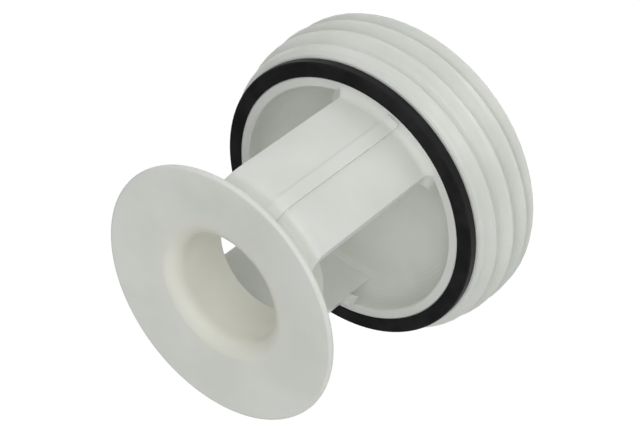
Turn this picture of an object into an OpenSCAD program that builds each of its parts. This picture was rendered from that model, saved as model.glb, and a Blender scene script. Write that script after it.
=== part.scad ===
// Drain pump filter of a washing machine: a screw cap whose threaded skirt closes the pump's
// housing, a rubber seal on the cap's spigot, and a strainer of two curved walls that carries
// the throat and the funnel. The part stands on the cap's front, with the funnel on top.

/* [Overall] */
// Height from the cap's front to the funnel's rim
total_h = 60; // [54:1:70]

/* [Seal] */
// Inner radius of the seal, and radius of the spigot it is stretched on
seal_in_r = 28; // [27:0.25:31]
// Width of the seal's flat face
seal_w = 3.25; // [2.5:0.25:4]
// Thickness of the seal along the axis
seal_t = 2.2; // [1.6:0.1:3]
// Small bevel on the seal's outer edges
seal_bevel = 0.25; // [0.1:0.05:0.5]

/* [Cap] */
// Height of the cap from its front to the top of the lip
cap_h = 19.2; // [18:0.2:23]
// How far the shoulder under the seal stands out past it
neck_ledge = 0.35; // [0.1:0.05:0.8]
// Width of the lip between the dish and the seal
lip_w = 2.2; // [1.8:0.1:3]
// Depth of the dish below the lip
dish_depth = 8.4; // [6:0.2:10]
// Radius between the dish's side and its floor
dish_fillet = 5; // [2:0.5:5.5]
// Thickness of the cap's floor
floor_t = 2.8; // [2:0.2:4]
// Radius of the finger recess in the front
recess_r = 28.8; // [26:0.2:30]
// Width of the grip bar across the recess
grip_w = 8; // [6:0.5:12]
// How far the grip bar stays behind the front rim
grip_inset = 0.8; // [0.4:0.1:2]
// How much the grip bar widens towards its root, on each side
grip_draft = 0.5; // [0.2:0.1:1]
// Radius of the grip bar's edges
grip_round = 1.5; // [0.5:0.25:2.5]

/* [Thread] */
// Distance from one crest of the thread to the next
pitch = 4.65; // [4:0.05:5.5]
// Step from the neck under the seal out to the root of the thread
root_step = 0.6; // [0.3:0.1:1]
// Height of the full crests above the root
thread_h = 2.55; // [1.5:0.05:3]
// Height of one crest above the front, on the +X side
crest_z = 6.14; // [4:0.02:8]
// How narrow the crests are beside the valleys
crest_power = 1.6; // [1:0.1:2.5]
// Height above the front up to which the crests are full
full_thread_z = 6; // [4:0.5:10]
// Height of the rounded rim's crest above the front
rim_crest_z = 1.4; // [1:0.1:2]
// Rounding of the front edge, along the axis
edge_axial = 2.6; // [1.5:0.1:3.5]
// Rounding of the front edge, across the axis
edge_radial = 1.8; // [1:0.1:2.5]

/* [Walls] */
// Gap from the lip's inner edge to the walls' outer face
wall_inset = 0.2; // [0.1:0.05:1]
// How far the walls lean in by the time they reach the shoulder
wall_lean = 0.75; // [0:0.05:1.5]
// Thickness of the two walls
wall_t = 2.1; // [1.6:0.1:3]
// Width across each wall
wall_w = 23.3; // [16:0.1:28]
// Radius of the shoulder at the walls' top
shoulder_r = 2.2; // [1.5:0.1:2.6]
// Depth of the groove between the shoulder and the funnel
groove_depth = 2.15; // [1:0.05:2.5]
// Radius of the windows' corners under the funnel
window_r = 6; // [3:0.5:7]
// Radius at the walls' foot on the lip
foot_r = 2; // [1:0.25:3]
// Width of the rib along each wall
rib_w = 2.8; // [2:0.1:4]
// How far the rib stands out of the wall
rib_h = 0.7; // [0.4:0.05:1.2]

/* [Funnel] */
// Radius of the throat's bore
bore_r = 12; // [8:0.25:15]
// Wall of the throat
throat_t = 2; // [1.5:0.1:2.6]
// Length from the funnel's rim to the throat's free end
throat_l = 15.6; // [12:0.2:22]
// Radius of the funnel's rim
rim_r = 27.85; // [26:0.05:32]
// Thickness of the funnel at its rim
rim_t = 1.25; // [0.8:0.05:2]
// How far the funnel's face sinks from the rim to the throat's bell
face_sink = 1.1; // [0.4:0.1:2]
// Radius of the bell that leads from the face into the bore
bell_r = 3.5; // [2:0.25:5]
// Thickness of the funnel's plate
plate_t = 1.7; // [1.2:0.1:2.4]

/* [Hidden] */
$fn = 96;

// How far joined forms run into each other
sunk = 0.05;
bite = 1;
// Small bevel on the lip's edges
lip_bevel = 0.3;
// Steps of the thread's surface round the axis and along it
turn_steps = 60;
row_step = 0.45;
arc_steps = 8;
// Radius between the recess's floor and its side
recess_fillet = 1.5;

seal_out_r = seal_in_r + seal_w;
shoulder_z = cap_h - seal_t;
neck_r = seal_out_r + neck_ledge;
root_r = neck_r + root_step;
crest_r = root_r + thread_h;
dish_r = seal_in_r - lip_w;
dish_z = cap_h - dish_depth;
recess_z = dish_z - floor_t;

// The thread's skin ends inside the neck, a little below the shoulder
neck_h = 0.5;
skin_sink = 0.2;
skin_top = shoulder_z - neck_h;
skin_in_r = neck_r - bite;

wall_r = dish_r - wall_inset;
top_r = wall_r - wall_lean;
groove_r = top_r - groove_depth;
groove_fillet = shoulder_r;
// The plate's underside at the groove, where the walls meet the funnel
plate_back = total_h - face_sink - plate_t;
plate_sink = 0.5;
groove_z = plate_back - groove_fillet + plate_sink;
// The shoulder and the groove are two arcs that touch: the line between their centres gives
// the angle at which one goes over into the other
turn_angle = acos((groove_r + groove_fillet - top_r + shoulder_r) / (shoulder_r + groove_fillet));
shoulder_c = [top_r - shoulder_r, groove_z - (shoulder_r + groove_fillet) * sin(turn_angle)];
groove_c = [groove_r + groove_fillet, groove_z];

throat_r = bore_r + throat_t;
throat_z = total_h - throat_l;
face_z = total_h - face_sink;

// Points of an arc round c, from one angle to another
function arc(c, r, from, to, steps = arc_steps) =
    [for (i = [0:steps]) let (a = from + (to - from) * i / steps) c + r * [cos(a), sin(a)]];

// The thread, as the radius of the cap's skin at a height z and an angle a round the axis
function bump(turns) = pow(0.5 + 0.5 * cos(360 * turns), crest_power);
function thread_bump(z, a) = bump((z - crest_z) / pitch - a / 360);
function rim_bump(z) = z < rim_crest_z ? 1
    : z < rim_crest_z + pitch / 2 ? bump((z - rim_crest_z) / pitch)
    : 0;
function crest_share(z) = z < full_thread_z ? 1
    : 1 - pow((z - full_thread_z) / (shoulder_z - full_thread_z), 2);
function root_at(z) = min(root_r, neck_r - skin_sink + skin_top - z);
function edge_at(z) = z > edge_axial ? crest_r
    : crest_r - edge_radial + edge_radial * sqrt(1 - pow(1 - z / edge_axial, 2));
function skin_r(z, a) =
    min(edge_at(z), root_at(z) + thread_h * crest_share(z) * max(rim_bump(z), thread_bump(z, a)));

module thread_skin() {
    rows = concat([0, row_step / 4, row_step / 2],
                  [for (z = [row_step:row_step:skin_top - row_step / 2]) z],
                  [skin_top]);
    last = len(rows) - 1;
    ring = turn_steps;
    angles = [for (i = [0:ring - 1]) 360 * i / ring];
    outer = [for (z = rows, a = angles) [skin_r(z, a) * cos(a), skin_r(z, a) * sin(a), z]];
    inner = [for (z = [0, skin_top], a = angles) [skin_in_r * cos(a), skin_in_r * sin(a), z]];
    // A band of triangles between two rings of points that start at p and q
    function band(p, q) = [for (i = [0:ring - 1]) let (j = (i + 1) % ring)
                           each [[p + i, q + j, p + j], [p + i, q + i, q + j]]];
    low_in = len(outer);
    high_in = low_in + ring;
    faces = concat([for (k = [0:last - 1]) each band(k * ring, (k + 1) * ring)],
                   band(last * ring, high_in), band(high_in, low_in), band(low_in, 0));
    polyhedron(points = concat(outer, inner), faces = faces);
}

// The cap without its thread: the front rim, the floor, the dish, the shoulder and the spigot
module cap_core() {
    rotate_extrude()
        polygon(concat(
            [[0, recess_z]],
            arc([recess_r - recess_fillet, recess_z - recess_fillet], recess_fillet, 90, 0),
            [[recess_r, 0], [neck_r, 0], [neck_r, shoulder_z], [seal_in_r, shoulder_z],
             [seal_in_r, cap_h - lip_bevel], [seal_in_r - lip_bevel, cap_h],
             [dish_r + lip_bevel, cap_h], [dish_r, cap_h - lip_bevel]],
            arc([dish_r - dish_fillet, dish_z + dish_fillet], dish_fillet, 0, -90),
            [[0, dish_z]]));
}

// The bar that is turned by hand, across the recess in the front
module grip_bar() {
    top_w = grip_w / 2 - grip_round;
    intersection() {
        translate([-recess_r - bite, 0, 0])
            rotate([90, 0, 90])
                linear_extrude(2 * (recess_r + bite))
                    polygon(concat(
                        arc([top_w, grip_inset + grip_round], grip_round, 0, -90),
                        arc([-top_w, grip_inset + grip_round], grip_round, -90, -180),
                        [[-grip_w / 2 - grip_draft, recess_z + bite], [grip_w / 2 + grip_draft, recess_z + bite]]));
        cylinder(r = recess_r + bite, h = recess_z + bite);
    }
}

// The section of a wall: a foot on the lip, a leaning face, the shoulder and the groove
module wall_section(out) {
    foot_c = [wall_r + foot_r, cap_h + foot_r - sunk];
    polygon(concat(
        [[wall_r - wall_t, dish_z - bite], [foot_c[0], dish_z - bite]],
        arc(foot_c, foot_r - out, 270, 180),
        arc(shoulder_c, shoulder_r + out, 0, turn_angle),
        out > 0 ? [] : arc(groove_c, groove_fillet, 180 + turn_angle, 90),
        [[groove_r, plate_back + bite], [groove_r - wall_t, plate_back + bite]],
        arc(groove_c, groove_fillet + wall_t, 180, 180 + turn_angle)));
}

// The outline of both walls, seen square on: straight sides with round corners at top and foot
module wall_outline() {
    low = dish_z - bite;
    top = plate_back + bite;
    half_w = wall_w / 2;
    translate([-half_w, low]) square([wall_w, top - low]);
    for (side = [-1, 1]) {
        difference() {
            translate([side * (half_w + window_r / 2), top - window_r / 2]) square(window_r, center = true);
            translate([side * (half_w + window_r), top - window_r]) circle(window_r);
        }
        difference() {
            translate([side * (half_w + foot_r / 2), cap_h + foot_r / 2 - sunk]) square(foot_r, center = true);
            translate([side * (half_w + foot_r), cap_h + foot_r - sunk]) circle(foot_r);
        }
    }
}

module walls() {
    intersection() {
        rotate_extrude() wall_section(0);
        translate([0, rim_r, 0]) rotate([90, 0, 0]) linear_extrude(2 * rim_r) wall_outline();
    }
    intersection() {
        rotate_extrude() wall_section(rib_h);
        translate([-rib_w / 2, -rim_r, 0]) cube([rib_w, 2 * rim_r, plate_back]);
    }
}

// The funnel's dished plate with its thin rim, and the throat under it
module funnel() {
    bell_c = [bore_r + bell_r, face_z - bell_r];
    rotate_extrude()
        polygon(concat(
            [[bore_r, throat_z]],
            arc(bell_c, bell_r, 180, 90),
            [[rim_r - rim_t / 2, total_h]],
            arc([rim_r - rim_t / 2, total_h - rim_t / 2], rim_t / 2, 90, -90, 6),
            [[groove_c[0], groove_z + groove_fillet]],
            arc([throat_r + groove_fillet, plate_back - groove_fillet], groove_fillet, 90, 180),
            [[throat_r, throat_z]]));
}

module filter_body() {
    color([0.88, 0.89, 0.87]) {
        cap_core();
        thread_skin();
        grip_bar();
        walls();
        funnel();
    }
}

// The rubber ring, stretched on the spigot and lying on the shoulder
module seal_ring() {
    color([0.1, 0.1, 0.1])
        translate([0, 0, shoulder_z])
            rotate_extrude()
                polygon([[seal_in_r, 0], [seal_out_r - seal_bevel, 0], [seal_out_r, seal_bevel],
                         [seal_out_r, seal_t - seal_bevel], [seal_out_r - seal_bevel, seal_t],
                         [seal_in_r, seal_t]]);
}

filter_body();
seal_ring();
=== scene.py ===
# A drain pump filter of a washing machine: white moulded cap and strainer, black rubber seal.
import math
import bpy
from mathutils import Matrix, Vector

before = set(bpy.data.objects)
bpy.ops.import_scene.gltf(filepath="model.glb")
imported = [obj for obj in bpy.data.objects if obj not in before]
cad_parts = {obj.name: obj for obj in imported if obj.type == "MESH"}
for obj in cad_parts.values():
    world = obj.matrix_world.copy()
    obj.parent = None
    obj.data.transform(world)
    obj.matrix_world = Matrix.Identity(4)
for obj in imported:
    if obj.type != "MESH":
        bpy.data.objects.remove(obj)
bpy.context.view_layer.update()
mm = 0.001


# One socket of a material's nodes, so that shader maths reads as plain expressions
class Wire:
    def __init__(self, tree, socket):
        self.tree = tree
        self.socket = socket

    def node(self, kind, settings=None, **inputs):
        made = self.tree.nodes.new(kind)
        for name, value in (settings or {}).items():
            setattr(made, name, value)
        for name, value in inputs.items():
            key = int(name[1:]) if name[0] == "i" and name[1:].isdigit() else name.replace("_", " ")
            if isinstance(value, Wire):
                self.tree.links.new(value.socket, made.inputs[key])
            else:
                made.inputs[key].default_value = value
        return made

    def maths(self, operation, first, second=None):
        values = {"i0": first} if second is None else {"i0": first, "i1": second}
        return Wire(self.tree, self.node("ShaderNodeMath", {"operation": operation}, **values).outputs[0])

    def __add__(self, other):
        return self.maths("ADD", self, other)

    def __radd__(self, other):
        return self.maths("ADD", other, self)

    def __sub__(self, other):
        return self.maths("SUBTRACT", self, other)

    def __rsub__(self, other):
        return self.maths("SUBTRACT", other, self)

    def __mul__(self, other):
        return self.maths("MULTIPLY", self, other)

    def __rmul__(self, other):
        return self.maths("MULTIPLY", other, self)


# The camera stands where the photograph was taken from, turned about its own axis
camera = dict(azimuth=15.0, elevation=40.15, roll=-126.6, distance=362.0, lens=98.55,
              target=(1.0, 3.7, 24.2))


def addCamera():
    turn = math.radians(camera["azimuth"])
    rise = math.radians(camera["elevation"])
    roll = math.radians(camera["roll"])
    back = Vector((-math.sin(turn) * math.cos(rise), -math.cos(turn) * math.cos(rise), math.sin(rise)))
    level = Vector((math.cos(turn), -math.sin(turn), 0.0))
    upright = back.cross(level)
    right = level * math.cos(roll) + upright * math.sin(roll)
    up = back.cross(right)
    data = bpy.data.cameras.new("camera")
    data.lens = camera["lens"]
    data.clip_start = 0.01
    eye = bpy.data.objects.new("camera", data)
    bpy.context.scene.collection.objects.link(eye)
    place = (Vector(camera["target"]) + back * camera["distance"]) * mm
    eye.matrix_world = Matrix((
        (right.x, up.x, back.x, place.x),
        (right.y, up.y, back.y, place.y),
        (right.z, up.z, back.z, place.z),
        (0.0, 0.0, 0.0, 1.0)))
    bpy.context.scene.camera = eye
    return eye


eye = addCamera()
print("stage: camera")

# The warm colour and its bounds are painted light, a glow of light through the thick throat plastic; tone
# and cloud are the plastic's own colours
plastic = dict(tone=(0.80, 0.815, 0.775), cloud=(0.74, 0.765, 0.715), paintedGlow=(0.83, 0.80, 0.68),
               smooth=0.34, rough=0.50, scatter=0.35, radius=(0.0030, 0.0028, 0.0022),
               cloudSize=14.0, grainSize=0.9, flowSize=9.0, grain=0.03, flow=0.12,
               paintedGlowInner=11.0, paintedGlowOuter=19.0, paintedGlowFrom=40.0, paintedGlowFull=45.0, paintedGlowShare=0.45,
               cloudLow=0.3, cloudHigh=0.7)
rubber = dict(tone=(0.009, 0.009, 0.0095), dust=(0.020, 0.020, 0.021), smooth=0.42, rough=0.62,
              shine=0.12, dustSize=5.0, dustLow=0.35, dustHigh=0.75, grainSize=0.6, grain=0.08)


def newMaterial(name):
    material = bpy.data.materials.new(name)
    material.use_nodes = True
    tree = material.node_tree
    shader = tree.nodes["Principled BSDF"]
    return material, shader, Wire(tree, shader.outputs[0])


# Soft blotches of a given size in mm, between 0 and 1
def blotches(wire, place, size, detail=2.0):
    noise = wire.node("ShaderNodeTexNoise", None, Vector=place, Scale=1.0 / (size * mm), Detail=detail)
    return Wire(wire.tree, noise.outputs[0])


# A value that rises smoothly from 0 to 1 as another goes from one bound to the next
def rise(wire, value, low, high):
    node = wire.node("ShaderNodeMapRange", {"interpolation_type": "SMOOTHSTEP"}, Value=value,
                     From_Min=low, From_Max=high)
    return Wire(wire.tree, node.outputs[0])


def blend(wire, share, first, second):
    node = wire.node("ShaderNodeMix", {"data_type": "RGBA"}, i0=share, i6=first, i7=second)
    return Wire(wire.tree, node.outputs[2])


# The height in mm that a full step of a bump stands for
reliefDepth = 0.2


def relief(wire, height, strength):
    node = wire.node("ShaderNodeBump", None, Height=height, Strength=strength, Distance=reliefDepth * mm)
    return Wire(wire.tree, node.outputs[0])


def feed(shader, **wires):
    for name, wire in wires.items():
        wire.tree.links.new(wire.socket, shader.inputs[name.replace("_", " ")])


# Milky polypropylene: faint clouds and flow marks, and a painted warm glow in the throat and its bell,
# standing for light through the thick plastic
def whitePlastic():
    material, shader, wire = newMaterial("whitePolypropylene")
    place = Wire(wire.tree, wire.node("ShaderNodeTexCoord").outputs["Object"])
    parts = wire.node("ShaderNodeSeparateXYZ", None, Vector=place)
    across = [Wire(wire.tree, parts.outputs[index]) for index in (0, 1)]
    height = Wire(wire.tree, parts.outputs[2])
    radius = wire.maths("SQRT", across[0] * across[0] + across[1] * across[1])
    # Painted light: a mask for the warm glow, inside the throat's radius and above the bell's height
    paintedGlowRing = 1.0 - rise(wire, radius, plastic["paintedGlowInner"] * mm, plastic["paintedGlowOuter"] * mm)
    paintedGlowMask = paintedGlowRing * rise(wire, height, plastic["paintedGlowFrom"] * mm, plastic["paintedGlowFull"] * mm)
    cloud = rise(wire, blotches(wire, place, plastic["cloudSize"]), plastic["cloudLow"],
                 plastic["cloudHigh"])
    milky = blend(wire, cloud, (*plastic["tone"], 1.0), (*plastic["cloud"], 1.0))
    colour = blend(wire, paintedGlowMask * plastic["paintedGlowShare"], milky, (*plastic["paintedGlow"], 1.0))
    sheen = plastic["smooth"] + cloud * (plastic["rough"] - plastic["smooth"])
    grain = blotches(wire, place, plastic["grainSize"], 3.0) * plastic["grain"]
    flow = blotches(wire, place, plastic["flowSize"]) * plastic["flow"]
    feed(shader, Base_Color=colour, Roughness=sheen, Normal=relief(wire, grain + flow, 1.0))
    shader.inputs["Subsurface Weight"].default_value = plastic["scatter"]
    shader.inputs["Subsurface Radius"].default_value = plastic["radius"]
    shader.inputs["Subsurface Scale"].default_value = 1.0
    return material


# Black rubber with a dull bloom in patches and a fine grain
def blackRubber():
    material, shader, wire = newMaterial("blackRubber")
    place = Wire(wire.tree, wire.node("ShaderNodeTexCoord").outputs["Object"])
    bloom = rise(wire, blotches(wire, place, rubber["dustSize"], 4.0), rubber["dustLow"], rubber["dustHigh"])
    colour = blend(wire, bloom, (*rubber["tone"], 1.0), (*rubber["dust"], 1.0))
    sheen = rubber["smooth"] + bloom * (rubber["rough"] - rubber["smooth"])
    grain = blotches(wire, place, rubber["grainSize"], 3.0) * rubber["grain"]
    feed(shader, Base_Color=colour, Roughness=sheen, Normal=relief(wire, grain, 1.0))
    shader.inputs["Specular IOR Level"].default_value = rubber["shine"]
    return material


def dress(piece, material):
    piece.data.materials.clear()
    piece.data.materials.append(material)


dress(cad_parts["filter_body"], whitePlastic())
dress(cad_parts["seal_ring"], blackRubber())
print("stage: materials")

floor = dict(size=4.0, tone=0.9, glow=0.8, light=1.15, roughness=0.9)


def addFloor():
    mesh = bpy.data.meshes.new("floor")
    half = floor["size"] / 2
    corners = [(-half, -half, 0), (half, -half, 0), (half, half, 0), (-half, half, 0)]
    mesh.from_pydata(corners, [], [(0, 1, 2, 3)])
    piece = bpy.data.objects.new("floor", mesh)
    bpy.context.scene.collection.objects.link(piece)
    material, shader, wire = newMaterial("floorWhite")
    shader.inputs["Base Color"].default_value = (floor["tone"],) * 3 + (1.0,)
    shader.inputs["Roughness"].default_value = floor["roughness"]
    path = wire.node("ShaderNodeLightPath")
    seen = Wire(wire.tree, path.outputs["Is Camera Ray"]) + Wire(wire.tree, path.outputs["Is Glossy Ray"])
    seen = seen + Wire(wire.tree, path.outputs["Is Transmission Ray"])
    glow = wire.node("ShaderNodeEmission", None, Color=(1.0, 1.0, 1.0, 1.0), Strength=floor["light"])
    mix = wire.node("ShaderNodeMixShader", None, Fac=wire.maths("MINIMUM", seen, 1.0) * floor["glow"])
    wire.tree.links.new(shader.outputs[0], mix.inputs[1])
    wire.tree.links.new(glow.outputs[0], mix.inputs[2])
    wire.tree.links.new(mix.outputs[0], wire.tree.nodes["Material Output"].inputs["Surface"])
    piece.data.materials.append(material)


addFloor()

# Soft lamps, placed by the camera's own right, up and back directions
lamps = [
    dict(name="key", right=0.0, up=0.0, back=1.0, distance=700.0, size=700.0, power=2.47),
    dict(name="low", right=0.0, up=-1.0, back=0.15, distance=700.0, size=700.0, power=0.74),
    dict(name="high", right=-0.6, up=0.6, back=0.55, distance=700.0, size=700.0, power=0.69),
    dict(name="side", right=-0.6, up=-0.6, back=0.55, distance=700.0, size=700.0, power=0.62),
]


def addLamp(spec):
    data = bpy.data.lights.new(spec["name"], "AREA")
    data.shape = "DISK"
    data.size = spec["size"] * mm
    data.energy = spec["power"]
    lamp = bpy.data.objects.new(spec["name"], data)
    bpy.context.scene.collection.objects.link(lamp)
    axes = eye.matrix_world.to_3x3()
    way = (axes.col[0] * spec["right"] + axes.col[1] * spec["up"] + axes.col[2] * spec["back"]).normalized()
    lamp.location = Vector(camera["target"]) * mm + way * spec["distance"] * mm
    lamp.rotation_euler = way.to_track_quat("Z", "Y").to_euler()


for spec in lamps:
    addLamp(spec)

ambient = 0.217
world = bpy.data.worlds.new("studio")
world.use_nodes = True
world.node_tree.nodes["Background"].inputs["Color"].default_value = (1.0, 1.0, 1.0, 1.0)
world.node_tree.nodes["Background"].inputs["Strength"].default_value = ambient
bpy.context.scene.world = world
bpy.context.scene.view_settings.view_transform = "Standard"
print("stage: lights")
